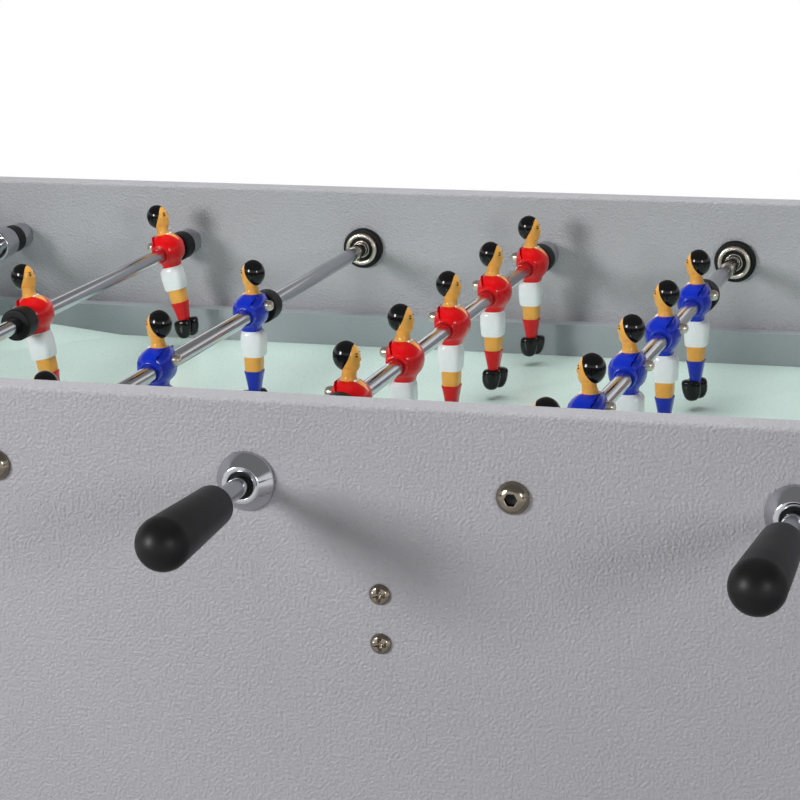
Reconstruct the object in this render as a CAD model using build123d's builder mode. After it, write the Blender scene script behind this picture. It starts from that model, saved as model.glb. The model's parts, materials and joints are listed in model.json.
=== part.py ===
from build123d import *
import os

os.makedirs("parts", exist_ok=True)

# Playing layout
rod_pitch = 150.0           # between neighbouring rods
rod_height = 854.0          # rod axis above the floor
field_width = 660.0         # between the inner faces of the side panels
goal_line_gap = 80.0        # from a keeper rod to its goal line
field_drop = 78.0           # playing surface below the rod axis
defence_spacing = 253.0
midfield_spacing = 112.5
attack_spacing = 176.0
keeper_stop = 165.0         # from the keeper to the middle of a stop collar
rest_lean = 12.3            # red defence at rest, feet forward, in degrees

# Cabinet boards
panel_thickness = 20.0
panel_depth = 260.0         # height of the side panels
rail_rise = 46.0            # top edge of the side panels above the rod axis
rail_round = 2.5
goal_bay = 100.0            # clear length between a goal wall and its end panel
deck_thickness = 18.0
surface_thickness = 3.0
board_thickness = 19.0
strip_width = 14.0
strip_height = 25.0
ramp_length = 173.0         # along the side strip
ramp_width = 190.0          # along the goal wall
ramp_rise = 18.5

# Goals and ball return
goal_width = 210.0
goal_height = 80.0
goal_round = 14.0
chute_width = 240.0
chute_sheet = 3.0
chute_depth = 30.0          # chute floor below the playing surface at the goal
chute_fall = 26.0
chute_wall = 70.0
return_width = 180.0
return_height = 72.0
return_lip = 14.0           # keeps a ball in the chute
return_round = 12.0

# Legs
leg_size = 80.0
leg_wall = 3.0
leg_round = 6.0
leg_lift = 34.0             # lower end of the leg above the floor
foot_diameter = 62.0
foot_height = 14.0
foot_stem = 16.0
plug_flange = 5.0
plug_depth = 20.0
plug_clearance = 0.3
leg_bolt_inset = 45.0       # from the edges of the side panel

# Rods
tube_diameter = 11.0
tube_wall = 1.4
tube_end_gap = 1.0
bar_clearance = 0.1         # radial, tube over guide bar
slide_clearance = 0.1       # radial, tube in the bearing and in the bumpers
fit_clearance = 0.05        # radial, pieces fixed on the tube and threads
hole_clearance = 0.3        # radial, hardware in board holes
stop_gap = 0.3              # between the pieces that meet at the end of travel
handle_length = 85.0
handle_gap = 40.0           # from the bearing nut to the handle when pushed in
handle_wall_diameter = 23.0
handle_tip_diameter = 29.0
handle_socket = 58.0
bumper_diameter = 22.6
bumper_length = 16.0
collar_diameter = 25.0
collar_length = 22.0

# Bearings
ring_diameter = 32.0
ring_thickness = 5.0
rim_diameter = 25.6
rim_thickness = 4.0
mouth_diameter = 18.5
mouth_depth = 6.0
sleeve_diameter = 20.0
nut_diameter = 34.0
nut_crown = 21.0
nut_height = 10.0
nut_grip = 7.0
nut_opening = 15.0

# Guide bars, bolts and screws
flange_diameter = 21.2
flange_boss = 18.0
flange_rim = 5.0
flange_height = 14.5
bar_reach = 430.0
bolt_diameter = 10.0
bolt_head = 18.5
bolt_head_height = 5.5
bolt_head_top = 9.0
thread_depth = 11.0
leg_bolt_reach = 36.0
screw_diameter = 4.0
screw_head = 12.0
screw_head_height = 3.0
screw_head_top = 6.0
screw_reach = 31.0
strip_screw_rise = 18.75    # above the playing surface
board_screw_drop = 6.35     # below the top of the board

# Players
torso_width = 33.5
clamp_width = 7.5           # across the corners of the clamp screw
clamp_rise = 6.0            # clamp screw above the rod axis
clamp_out = 16.0            # from the rod axis to the end of the clamp screw
section_corner = 0.29       # corner cut of a section, as a share of its smaller side

# Sections of a player from sole to crown, seen from the rod axis:
# level, reach to the back, reach to the front, half width
figure = [
    (-71.0, 5.4, 4.6, 6.4),
    (-66.5, 8.2, 6.6, 8.6),
    (-59.5, 8.8, 8.2, 8.8),
    (-57.0, 7.0, 7.6, 8.2),
    (-56.0, 4.2, 3.8, 6.2),
    (-42.0, 6.6, 6.4, 7.9),
    (-40.5, 6.2, 6.1, 7.4),
    (-31.5, 6.5, 6.3, 7.5),
    (-30.5, 8.2, 7.4, 8.6),
    (-22.0, 9.2, 8.2, 9.2),
    (-13.5, 8.2, 7.6, 8.8),
    (-12.5, 5.6, 7.2, 8.2),
    (-10.5, 6.6, 8.2, 9.4),
    (-7.0, 8.6, 10.4, torso_width / 2),
    (-4.5, 10.2, 12.0, torso_width / 2),
    (6.5, 10.8, 13.0, torso_width / 2),
    (11.5, 9.6, 9.4, 12.5),
    (14.0, 6.6, 4.6, 6.2),
    (16.5, 4.9, 4.0, 4.6),
    (20.5, 4.2, 4.8, 4.6),
    (22.5, 6.2, 6.4, 5.6),
    (30.0, 9.8, 7.0, 7.3),
    (35.5, 8.4, 4.6, 5.9),
    (38.7, 4.6, 1.4, 3.0),
]

# Rods from left to right
rods = [
    "red_keeper",
    "red_defence",
    "blue_attack",
    "red_midfield",
    "blue_midfield",
    "red_attack",
    "blue_defence",
    "blue_keeper",
]

# Levels and lengths that follow from the sizes above
rail_top = rod_height + rail_rise
panel_bottom = rail_top - panel_depth
deck_bottom = rail_top - deck_thickness
field_level = rod_height - field_drop
board_top = field_level - surface_thickness
inner_wall = field_width / 2
outer_wall = inner_wall + panel_thickness
goal_line = rod_pitch * (len(rods) - 1) / 2 + goal_line_gap
bay_start = goal_line + panel_thickness
bay_end = bay_start + goal_bay
table_end = bay_end + panel_thickness
chute_low = field_level - chute_depth - chute_fall
leg_x = bay_end - leg_size / 2
leg_y = inner_wall - leg_size / 2
tube_radius = tube_diameter / 2
bar_radius = tube_radius - tube_wall - bar_clearance
handle_start = outer_wall + nut_height + handle_gap

player_offsets = {
    "keeper": [0.0],
    "defence": [side * defence_spacing / 2 for side in (-1, 1)],
    "midfield": [step * midfield_spacing for step in (-2, -1, 0, 1, 2)],
    "attack": [step * attack_spacing for step in (-1, 0, 1)],
}


def line_of(rod):
    """Name of the playing line of a rod."""
    return rod.split("_")[1]


def rod_x(rod):
    """Place of a rod along the table."""
    return (rods.index(rod) - (len(rods) - 1) / 2) * rod_pitch


def handle_side(rod):
    """Side of the table that a rod's handle is on: red in front, blue at the back."""
    return -1 if rod.startswith("red") else 1


def stop_reach(rod):
    """From the middle of a rod's row to the outer face of its last stop piece."""
    if line_of(rod) == "keeper":
        return keeper_stop + collar_length / 2
    return max(player_offsets[line_of(rod)]) + torso_width / 2


def row_shift(rod):
    """Middle of the row when pushed in, from the table's middle towards the guide bar's wall."""
    return inner_wall - flange_height - bumper_length - 2 * stop_gap - stop_reach(rod)


def cross_frame(x, z, side):
    """Plane whose x runs across the table towards one side and whose y runs up."""
    return Plane(origin=(x, 0, z), x_dir=(0, side, 0), z_dir=(side, 0, 0))


def turn(frame, outline):
    """Turn a closed outline of (along, radius) points about the frame's x axis."""
    with BuildSketch(frame) as section:
        with BuildLine():
            Polyline(*outline, close=True)
        make_face()
    revolve(section.sketch, axis=Axis(frame.origin, frame.x_dir))


def turn_ring(frame, start, length, inner, outer):
    """Turn a plain ring with the given radii."""
    end = start + length
    turn(frame, [(start, inner), (end, inner), (end, outer), (start, outer)])


def turn_bolt(frame, reach):
    """Button-head bolt that bears on the outer face of a side panel."""
    shank = bolt_diameter / 2
    top = outer_wall + bolt_head_height
    turn(frame, [
        (outer_wall - reach, 0),
        (outer_wall - reach, shank),
        (outer_wall, shank),
        (outer_wall, bolt_head / 2),
        (top, bolt_head_top / 2),
        (top, 0),
    ])


def save(piece, name):
    """Label a finished piece and write it."""
    piece.part.label = name
    export_step(piece.part, f"parts/{name}.step")


# Side panels, with a bearing hole or a bolt hole for every rod
leg_bolt_levels = (panel_bottom + leg_bolt_inset, deck_bottom - leg_bolt_inset)
strip_screw_level = field_level + strip_screw_rise
board_screw_level = board_top - board_screw_drop
for name, side in (("front", -1), ("back", 1)):
    with BuildPart() as side_panel:
        with BuildSketch(Plane.XZ.offset(-side * inner_wall)):
            with Locations((0, rail_top - panel_depth / 2)):
                Rectangle(2 * table_end, panel_depth)
            for rod in rods:
                hole = sleeve_diameter if handle_side(rod) == side else bolt_diameter
                with Locations((rod_x(rod), rod_height)):
                    Circle(hole / 2 + hole_clearance, mode=Mode.SUBTRACT)
            with Locations(*[(end * leg_x, level) for end in (-1, 1) for level in leg_bolt_levels]):
                Circle(bolt_diameter / 2 + hole_clearance, mode=Mode.SUBTRACT)
            with Locations((0, strip_screw_level), (0, board_screw_level)):
                Circle(screw_diameter / 2 + hole_clearance, mode=Mode.SUBTRACT)
        extrude(amount=-side * panel_thickness)
        fillet(side_panel.edges().filter_by(Axis.X).group_by(Axis.Z)[-1], rail_round)
    save(side_panel, f"side_panel_{name}")

# Side strips along the foot of the side panels
with BuildPart() as side_strips:
    for side in (-1, 1):
        with BuildSketch(Plane.XZ.offset(-side * inner_wall)):
            with Locations((0, field_level + strip_height / 2)):
                Rectangle(2 * goal_line, strip_height)
        extrude(amount=side * strip_width)
        with BuildSketch(Plane.XZ.offset(-side * inner_wall)):
            with Locations((0, strip_screw_level)):
                Circle(screw_diameter / 2 + fit_clearance)
        extrude(amount=side * (screw_reach - panel_thickness), mode=Mode.SUBTRACT)
save(side_strips, "side_strips")

# Goal walls with the goal mouth
for name, end in (("left", -1), ("right", 1)):
    with BuildPart() as goal_wall:
        with BuildSketch(Plane.YZ.offset(end * goal_line)):
            with Locations((0, (panel_bottom + deck_bottom) / 2)):
                Rectangle(field_width, deck_bottom - panel_bottom)
        extrude(amount=end * panel_thickness)
        with BuildSketch(Plane.YZ.offset(end * goal_line)) as mouth:
            with Locations((0, field_level + goal_height / 2)):
                Rectangle(goal_width, goal_height)
            fillet(mouth.vertices().group_by(Axis.Y)[-1], goal_round)
        extrude(amount=end * panel_thickness, mode=Mode.SUBTRACT)
    save(goal_wall, f"goal_wall_{name}")

# End panels with the opening that balls are taken from
for name, end in (("left", -1), ("right", 1)):
    with BuildPart() as end_panel:
        with BuildSketch(Plane.YZ.offset(end * bay_end)):
            with Locations((0, (panel_bottom + deck_bottom) / 2)):
                Rectangle(field_width, deck_bottom - panel_bottom)
        extrude(amount=end * panel_thickness)
        with BuildSketch(Plane.YZ.offset(end * bay_end)) as opening:
            with Locations((0, chute_low + return_lip + return_height / 2)):
                Rectangle(return_width, return_height)
            fillet(opening.vertices(), return_round)
        extrude(amount=end * panel_thickness, mode=Mode.SUBTRACT)
    save(end_panel, f"end_panel_{name}")

# Decks that close the goal bays on top
with BuildPart() as end_decks:
    with BuildSketch(Plane.XY.offset(deck_bottom)):
        with Locations(*[(end * (goal_line + table_end) / 2, 0) for end in (-1, 1)]):
            Rectangle(table_end - goal_line, field_width)
    extrude(amount=deck_thickness)
save(end_decks, "end_decks")

# Chutes from the goal mouth down to the ball opening
chute_high = chute_low + chute_fall
with BuildPart() as goal_chutes:
    for end in (-1, 1):
        with BuildSketch(Plane.XZ):
            with BuildLine():
                Polyline(
                    (end * bay_start, chute_high - chute_sheet),
                    (end * bay_end, chute_low - chute_sheet),
                    (end * bay_end, chute_low + chute_wall),
                    (end * bay_start, chute_high + chute_wall),
                    close=True,
                )
            make_face()
        extrude(amount=chute_width / 2, both=True)
        with BuildSketch(Plane.XZ):
            with BuildLine():
                Polyline(
                    (end * bay_start, chute_high),
                    (end * bay_end, chute_low),
                    (end * bay_end, chute_high + chute_wall),
                    (end * bay_start, chute_high + chute_wall),
                    close=True,
                )
            make_face()
        extrude(amount=chute_width / 2 - chute_sheet, both=True, mode=Mode.SUBTRACT)
save(goal_chutes, "goal_chutes")

# Playing surface on its board
with BuildPart() as playing_surface:
    with BuildSketch(Plane.XY.offset(board_top)):
        Rectangle(2 * goal_line, field_width)
    extrude(amount=surface_thickness)
save(playing_surface, "playing_surface")

with BuildPart() as field_board:
    with BuildSketch(Plane.XY.offset(board_top)):
        Rectangle(2 * goal_line, field_width)
    extrude(amount=-board_thickness)
    for side in (-1, 1):
        with BuildSketch(Plane.XZ.offset(-side * inner_wall)):
            with Locations((0, board_screw_level)):
                Circle(screw_diameter / 2 + fit_clearance)
        extrude(amount=side * (screw_reach - panel_thickness), mode=Mode.SUBTRACT)
save(field_board, "field_board")

# Corner ramps that roll a ball back towards the middle
with BuildPart() as corner_ramps:
    strip_face = inner_wall - strip_width
    for end in (-1, 1):
        for side in (-1, 1):
            corner = (end * goal_line, side * strip_face)
            with BuildSketch(Plane.XY.offset(field_level), mode=Mode.PRIVATE) as base:
                with BuildLine():
                    Polyline(
                        corner,
                        (end * (goal_line - ramp_length), side * strip_face),
                        (end * goal_line, side * (strip_face - ramp_width)),
                        close=True,
                    )
                make_face()
            loft([base.sketch.face(), Vertex(*corner, field_level + ramp_rise)])
save(corner_ramps, "corner_ramps")

# Legs in the corners of the goal bays
corners = [(end * leg_x, side * leg_y) for end in (-1, 1) for side in (-1, 1)]
with BuildPart() as legs:
    with BuildSketch(Plane.XY.offset(leg_lift)):
        with Locations(*corners):
            RectangleRounded(leg_size, leg_size, leg_round)
            Rectangle(leg_size - 2 * leg_wall, leg_size - 2 * leg_wall, mode=Mode.SUBTRACT)
    extrude(amount=deck_bottom - leg_lift)
    for side in (-1, 1):
        with BuildSketch(Plane.XZ.offset(-side * inner_wall)):
            with Locations(*[(end * leg_x, level) for end in (-1, 1) for level in leg_bolt_levels]):
                Circle(bolt_diameter / 2 + hole_clearance)
        extrude(amount=side * leg_wall, mode=Mode.SUBTRACT)
save(legs, "legs")

# Levelling feet with the plugs that close the legs
with BuildPart() as levelling_feet:
    with BuildSketch():
        with Locations(*corners):
            Circle(foot_diameter / 2)
    extrude(amount=foot_height)
    with BuildSketch():
        with Locations(*corners):
            Circle(foot_stem / 2)
    extrude(amount=leg_lift)
    with BuildSketch(Plane.XY.offset(leg_lift)):
        with Locations(*corners):
            Rectangle(leg_size, leg_size)
    extrude(amount=-plug_flange)
    with BuildSketch(Plane.XY.offset(leg_lift)):
        with Locations(*corners):
            plug = leg_size - 2 * leg_wall - 2 * plug_clearance
            Rectangle(plug, plug)
    extrude(amount=plug_depth)
save(levelling_feet, "levelling_feet")

with BuildPart() as panel_screws:
    for side in (-1, 1):
        for level in (strip_screw_level, board_screw_level):
            turn(cross_frame(0, level, side), [
                (outer_wall - screw_reach, 0),
                (outer_wall - screw_reach, screw_diameter / 2),
                (outer_wall, screw_diameter / 2),
                (outer_wall, screw_head / 2),
                (outer_wall + screw_head_height, screw_head_top / 2),
                (outer_wall + screw_head_height, 0),
            ])
save(panel_screws, "panel_screws")

# Bearings in the handle-side walls
with BuildPart() as bearing_rings:
    for rod in rods:
        turn_ring(
            cross_frame(rod_x(rod), rod_height, handle_side(rod)),
            inner_wall - ring_thickness,
            ring_thickness,
            sleeve_diameter / 2 + hole_clearance,
            ring_diameter / 2,
        )
save(bearing_rings, "bearing_rings")

with BuildPart() as bearing_housings:
    rim_back = inner_wall - ring_thickness
    rim_face = rim_back - rim_thickness
    bore = tube_radius + slide_clearance
    for rod in rods:
        turn(cross_frame(rod_x(rod), rod_height, handle_side(rod)), [
            (rim_face, mouth_diameter / 2),
            (rim_face + mouth_depth, bore),
            (outer_wall + nut_grip, bore),
            (outer_wall + nut_grip, sleeve_diameter / 2),
            (rim_back, sleeve_diameter / 2),
            (rim_back, rim_diameter / 2),
            (rim_face, rim_diameter / 2),
        ])
save(bearing_housings, "bearing_housings")

with BuildPart() as bearing_nuts:
    seat = outer_wall + nut_grip + stop_gap
    thread = sleeve_diameter / 2 + fit_clearance
    for rod in rods:
        turn(cross_frame(rod_x(rod), rod_height, handle_side(rod)), [
            (outer_wall, thread),
            (seat, thread),
            (seat, nut_opening / 2),
            (outer_wall + nut_height, nut_opening / 2),
            (outer_wall + nut_height, nut_crown / 2),
            (outer_wall, nut_diameter / 2),
        ])
save(bearing_nuts, "bearing_nuts")

# Guide bars on the opposite walls
with BuildPart() as guide_bars:
    flange_face = inner_wall - flange_height
    thread = bolt_diameter / 2 + fit_clearance
    for rod in rods:
        turn(cross_frame(rod_x(rod), rod_height, -handle_side(rod)), [
            (flange_face - bar_reach, 0),
            (flange_face - bar_reach, bar_radius),
            (flange_face, bar_radius),
            (flange_face, flange_boss / 2),
            (inner_wall - flange_rim, flange_diameter / 2),
            (inner_wall, flange_diameter / 2),
            (inner_wall, thread),
            (inner_wall - thread_depth, thread),
            (inner_wall - thread_depth, 0),
        ])
save(guide_bars, "guide_bars")

# Button-head bolts that hold the guide bars and the legs
with BuildPart() as button_bolts:
    for rod in rods:
        frame = cross_frame(rod_x(rod), rod_height, -handle_side(rod))
        turn_bolt(frame, panel_thickness + thread_depth - stop_gap)
    for end in (-1, 1):
        for side in (-1, 1):
            for level in leg_bolt_levels:
                turn_bolt(cross_frame(end * leg_x, level, side), leg_bolt_reach)
save(button_bolts, "button_bolts")

# One cast player, standing on the rod axis and looking along x, with the screw that clamps it
clamp_depth = clamp_out - tube_radius - fit_clearance
clamp_end = Plane(origin=(-clamp_out, 0, clamp_rise), x_dir=(0, 1, 0), z_dir=(1, 0, 0))
with BuildPart() as player:
    for level, back, front, half_width in figure:
        with BuildSketch(Plane.XY.offset(level)) as section:
            with Locations(((front - back) / 2, 0)):
                Rectangle(front + back, 2 * half_width)
            chamfer(section.vertices(), section_corner * min(front + back, 2 * half_width))
    loft(ruled=True)
    with BuildSketch(Plane.XZ):
        Circle(tube_radius + fit_clearance)
    extrude(amount=torso_width, both=True, mode=Mode.SUBTRACT)
    with BuildSketch(clamp_end):
        RegularPolygon(clamp_width / 2 + fit_clearance, 6)
    extrude(amount=clamp_depth, mode=Mode.SUBTRACT)

with BuildPart() as clamp_screw:
    with BuildSketch(clamp_end):
        RegularPolygon(clamp_width / 2, 6)
    extrude(amount=clamp_depth)

# Rods with their handles, players and bumpers
for rod in rods:
    frame = cross_frame(rod_x(rod), rod_height, handle_side(rod))
    row_middle = -row_shift(rod)
    tip_radius = handle_tip_diameter / 2
    tip = handle_start + handle_length
    socket = tube_radius + fit_clearance
    socket_end = handle_start + handle_socket
    tube_start = flange_height + tube_end_gap - inner_wall

    with BuildPart() as tube:
        turn_ring(
            frame,
            tube_start,
            socket_end - stop_gap - tube_start,
            tube_radius - tube_wall,
            tube_radius,
        )
        if line_of(rod) == "keeper":
            for side in (-1, 1):
                turn_ring(
                    frame,
                    row_middle + side * keeper_stop - collar_length / 2,
                    collar_length,
                    socket,
                    collar_diameter / 2,
                )
    save(tube, f"{rod}_tube")

    with BuildPart() as handle:
        with BuildSketch(frame):
            with BuildLine():
                Polyline(
                    (tip, 0),
                    (socket_end, 0),
                    (socket_end, socket),
                    (handle_start, socket),
                    (handle_start, handle_wall_diameter / 2),
                    (tip - tip_radius, tip_radius),
                )
                CenterArc((tip - tip_radius, 0), tip_radius, 0, 90)
            make_face()
        revolve(axis=Axis(frame.origin, frame.x_dir))
    save(handle, f"{rod}_handle")

    lean = rest_lean if rod == "red_defence" else 0.0
    facing = 0 if handle_side(rod) < 0 else 180
    places = [
        Pos(rod_x(rod), handle_side(rod) * (row_middle + offset), rod_height)
        * Rot(0, 0, facing)
        * Rot(0, -lean, 0)
        for offset in player_offsets[line_of(rod)]
    ]
    with BuildPart() as players:
        with Locations(*places):
            add(player.part)
    save(players, f"{rod}_players")

    with BuildPart() as clamp_screws:
        with Locations(*places):
            add(clamp_screw.part)
    save(clamp_screws, f"{rod}_clamp_screws")

    with BuildPart() as bumpers:
        for side in (-1, 1):
            middle = row_middle + side * (stop_reach(rod) + stop_gap + bumper_length / 2)
            turn_ring(
                frame,
                middle - bumper_length / 2,
                bumper_length,
                tube_radius + slide_clearance,
                bumper_diameter / 2,
            )
    save(bumpers, f"{rod}_bumpers")
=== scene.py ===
"""Looks of a foosball table with telescopic rods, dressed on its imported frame."""
import json
import math

import bmesh
import bpy
from bpy.props import FloatProperty, FloatVectorProperty, PointerProperty
from mathutils import Matrix, Vector

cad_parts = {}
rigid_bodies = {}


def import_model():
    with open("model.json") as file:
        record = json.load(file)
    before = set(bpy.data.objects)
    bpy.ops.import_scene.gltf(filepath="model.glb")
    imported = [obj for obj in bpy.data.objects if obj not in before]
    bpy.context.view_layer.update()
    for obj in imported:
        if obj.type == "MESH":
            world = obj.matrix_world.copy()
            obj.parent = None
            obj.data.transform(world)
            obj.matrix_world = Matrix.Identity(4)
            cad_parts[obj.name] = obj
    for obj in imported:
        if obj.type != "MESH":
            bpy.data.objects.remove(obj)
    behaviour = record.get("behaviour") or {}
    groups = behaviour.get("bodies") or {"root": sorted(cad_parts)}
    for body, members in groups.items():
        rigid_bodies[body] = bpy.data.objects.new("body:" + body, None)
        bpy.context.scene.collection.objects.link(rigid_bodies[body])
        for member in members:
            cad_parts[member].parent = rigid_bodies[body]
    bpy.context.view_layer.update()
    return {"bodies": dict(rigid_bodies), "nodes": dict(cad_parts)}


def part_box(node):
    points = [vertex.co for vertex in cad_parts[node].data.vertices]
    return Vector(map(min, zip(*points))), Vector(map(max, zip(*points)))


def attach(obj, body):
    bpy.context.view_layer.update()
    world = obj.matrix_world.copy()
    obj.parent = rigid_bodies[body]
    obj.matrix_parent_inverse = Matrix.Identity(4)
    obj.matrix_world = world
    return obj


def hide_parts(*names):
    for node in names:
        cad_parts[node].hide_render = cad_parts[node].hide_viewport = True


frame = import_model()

bl_info = {
    "name": "Foosball Table",
    "version": (1, 0, 0),
    "blender": (4, 5, 0),
    "location": "View3D > Sidebar > Foosball",
    "description": "Dresses the frame of a foosball table with rods, players and finishes",
    "category": "Object",
}

mm = 0.001

# Places read from the frame
rods = [name[: -len("_carriage")] for name in frame["bodies"] if name.endswith("_carriage")]
panel_low, panel_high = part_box("side_panel_back")
inner_wall = panel_low[1]
outer_wall = panel_high[1]
rail_top = panel_high[2]

# Sizes that several pieces share
ring_face = inner_wall - 5.0 * mm    # face of the black ring between a wall and a bearing's rim
tube_radius = 5.5 * mm
tight_hole = 5.55 * mm               # hole that grips a tube
loose_hole = 5.6 * mm                # hole with a little room round a tube
bolt_radius = 9.25 * mm
screw_radius = 6.0 * mm
photo_lean = math.radians(12.3)      # turn of the red row of two in the photo


def middle(node, axis):
    """Middle of a node's box along one axis."""
    low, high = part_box(node)
    return (low[axis] + high[axis]) / 2


def rod_x(rod):
    """Place of a rod along the table."""
    return middle(f"{rod}_tube", 0)


def rod_z(rod):
    """Height of a rod's axis."""
    return middle(f"{rod}_tube", 2)


def handle_side(rod):
    """Side of the table with a rod's handle, 1 at the back and -1 in front."""
    return 1 if middle(f"{rod}_handle", 1) > 0 else -1


def span(node):
    """Distances of a node's two ends from the table's middle, across the table, nearest first."""
    low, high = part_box(node)
    return sorted((abs(low[1]), abs(high[1])))


def across(x, z, side):
    """Frame whose x axis runs across the table towards one side."""
    return Matrix.Translation((x, 0, z)) @ Matrix.Rotation(side * math.pi / 2, 4, "Z")


def linear(red, green, blue):
    """Scene colour of a screen colour given as 0 to 255."""
    return tuple(((value / 255 + 0.055) / 1.055) ** 2.4 for value in (red, green, blue))


# User settings
def paint(name, description, red, green, blue):
    """Colour property with a screen colour as its default."""
    return FloatVectorProperty(
        name=name,
        description=description,
        subtype="COLOR",
        size=3,
        min=0.0,
        max=1.0,
        default=linear(red, green, blue),
    )


def length(name, description, millimetres):
    """Length property with its default in millimetres."""
    return FloatProperty(
        name=name,
        description=description,
        subtype="DISTANCE",
        unit="LENGTH",
        min=0.0,
        default=millimetres * mm,
    )


class FOOSBALL_colours(bpy.types.PropertyGroup):
    """Colours of the table's finishes"""

    board: paint("Board coat", "Textured grey coat of the cabinet boards", 176, 175, 180)
    strip: paint("Strip coat", "Darker coat of the strips beside the field", 156, 163, 167)
    fibre: paint("Fibreboard", "Bare underside of the field board", 128, 104, 78)
    field: paint("Playing surface", "Pale mint sheet of the field", 203, 226, 217)
    legs: paint("Leg coat", "Powder coat of the legs", 92, 93, 98)
    sheet: paint("Chute sheet", "Dark sheet of the ball chutes", 44, 45, 48)
    plastic: paint("Handle plastic", "Moulded black plastic", 16, 16, 17)
    rubber: paint("Rubber", "Black rubber of bumpers, rings and bearing recesses", 12, 12, 13)
    chrome: paint("Chrome", "Plated tubes, nuts and guide bars", 190, 191, 196)
    nickel: paint("Nickel", "Warm plated bearings and clamp screws", 208, 198, 184)
    steel: paint("Screws", "Plated bolts and screws", 140, 131, 118)
    red: paint("Red team", "Enamel of the red jerseys and socks", 218, 2, 12)
    blue: paint("Blue team", "Enamel of the blue jerseys and socks", 4, 42, 182)
    shorts: paint("Shorts", "White enamel of the shorts", 246, 249, 250)
    skin: paint("Skin", "Enamel of faces and knees", 252, 180, 82)
    hair: paint("Hair and boots", "Gloss black enamel", 5, 5, 6)


class FOOSBALL_sizes(bpy.types.PropertyGroup):
    """Sizes of the details that the looks add"""

    edge: length("Edge", "Rounding of turned metal edges", 0.8)
    rubber_edge: length("Rubber edge", "Rounding of moulded rubber and plastic edges", 1.6)
    socket: length("Socket", "Width across the flats of a bolt's hexagon socket", 6.0)
    recess: length("Recess", "Length of a screw's cross recess", 7.0)
    dome: length("Dome", "Diameter of a player's clamp screw", 7.6)
    groove: length("Groove", "Depth of the groove between a player's legs", 0.5)
    slit: length("Slit", "Width of the clamp slit behind a player's shoulders", 0.55)


def colours():
    """Colours chosen in the panel."""
    return bpy.context.scene.foosball_colours


def sizes():
    """Sizes chosen in the panel."""
    return bpy.context.scene.foosball_sizes


# Shared surface effects
def new_group(name, inputs, outputs):
    """Empty node group with float inputs and outputs."""
    group = bpy.data.node_groups.new(name, "ShaderNodeTree")
    for socket, value in inputs.items():
        made = group.interface.new_socket(socket, in_out="INPUT", socket_type="NodeSocketFloat")
        made.default_value = value
    for socket in outputs:
        group.interface.new_socket(socket, in_out="OUTPUT", socket_type="NodeSocketFloat")
    return group, group.nodes.new("NodeGroupInput"), group.nodes.new("NodeGroupOutput")


def grain_group():
    """Fine relief with broad, faint clouds, in the piece's own coordinates."""
    name = "Grain and clouds"
    if name in bpy.data.node_groups:
        return bpy.data.node_groups[name]
    group, given, out = new_group(name, {"Grain": 600.0, "Clouds": 8.0}, ("Height", "Cloud"))
    place = group.nodes.new("ShaderNodeTexCoord")
    for scale, result, detail in (("Grain", "Height", 2.0), ("Clouds", "Cloud", 3.0)):
        noise = group.nodes.new("ShaderNodeTexNoise")
        noise.inputs["Detail"].default_value = detail
        group.links.new(place.outputs["Object"], noise.inputs["Vector"])
        group.links.new(given.outputs[scale], noise.inputs["Scale"])
        group.links.new(noise.outputs["Fac"], out.inputs[result])
    return group


def turning_group():
    """Fine rings that a lathe leaves round a piece's x axis, with smudges."""
    name = "Turning marks"
    if name in bpy.data.node_groups:
        return bpy.data.node_groups[name]
    group, given, out = new_group(name, {"Rings": 3000.0, "Smudges": 60.0}, ("Height", "Smudge"))
    place = group.nodes.new("ShaderNodeTexCoord")
    axis = group.nodes.new("ShaderNodeSeparateXYZ")
    group.links.new(place.outputs["Object"], axis.inputs[0])
    rings = group.nodes.new("ShaderNodeTexNoise")
    rings.noise_dimensions = "1D"
    group.links.new(axis.outputs["X"], rings.inputs["W"])
    group.links.new(given.outputs["Rings"], rings.inputs["Scale"])
    group.links.new(rings.outputs["Fac"], out.inputs["Height"])
    smudge = group.nodes.new("ShaderNodeTexNoise")
    smudge.inputs["Detail"].default_value = 4.0
    group.links.new(place.outputs["Object"], smudge.inputs["Vector"])
    group.links.new(given.outputs["Smudges"], smudge.inputs["Scale"])
    group.links.new(smudge.outputs["Fac"], out.inputs["Smudge"])
    return group


class Nodes:
    """Node tree under construction, with its links at hand."""

    def __init__(self, tree):
        self.tree = tree

    def node(self, kind, **settings):
        """Add a node with settings."""
        made = self.tree.nodes.new(kind)
        for key, value in settings.items():
            setattr(made, key, value)
        return made

    def link(self, start, end):
        """Join two sockets."""
        self.tree.links.new(start, end)

    def math(self, operation, first, second):
        """Math node on sockets or numbers."""
        made = self.node("ShaderNodeMath", operation=operation)
        for socket, value in zip(made.inputs, (first, second)):
            if isinstance(value, (int, float)):
                socket.default_value = value
            else:
                self.link(value, socket)
        return made.outputs[0]

    def ramp(self, value, low, high):
        """Map a 0 to 1 value onto a range."""
        made = self.node("ShaderNodeMapRange")
        made.inputs["To Min"].default_value = low
        made.inputs["To Max"].default_value = high
        self.link(value, made.inputs["Value"])
        return made.outputs["Result"]

    def mix(self, factor, first, second):
        """Mix two colours or colour sockets by a mask."""
        made = self.node("ShaderNodeMix", data_type="RGBA")
        self.link(factor, made.inputs["Factor"])
        for socket, value in (("A", first), ("B", second)):
            slot = next(s for s in made.inputs if s.name == socket and s.type == "RGBA")
            if isinstance(value, bpy.types.NodeSocket):
                self.link(value, slot)
            else:
                slot.default_value = (*value, 1.0)
        return next(s for s in made.outputs if s.type == "RGBA")

    def group(self, group, **values):
        """Place a shared effect with its own values."""
        made = self.node("ShaderNodeGroup", node_tree=group)
        for socket, value in values.items():
            made.inputs[socket].default_value = value
        return made


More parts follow.
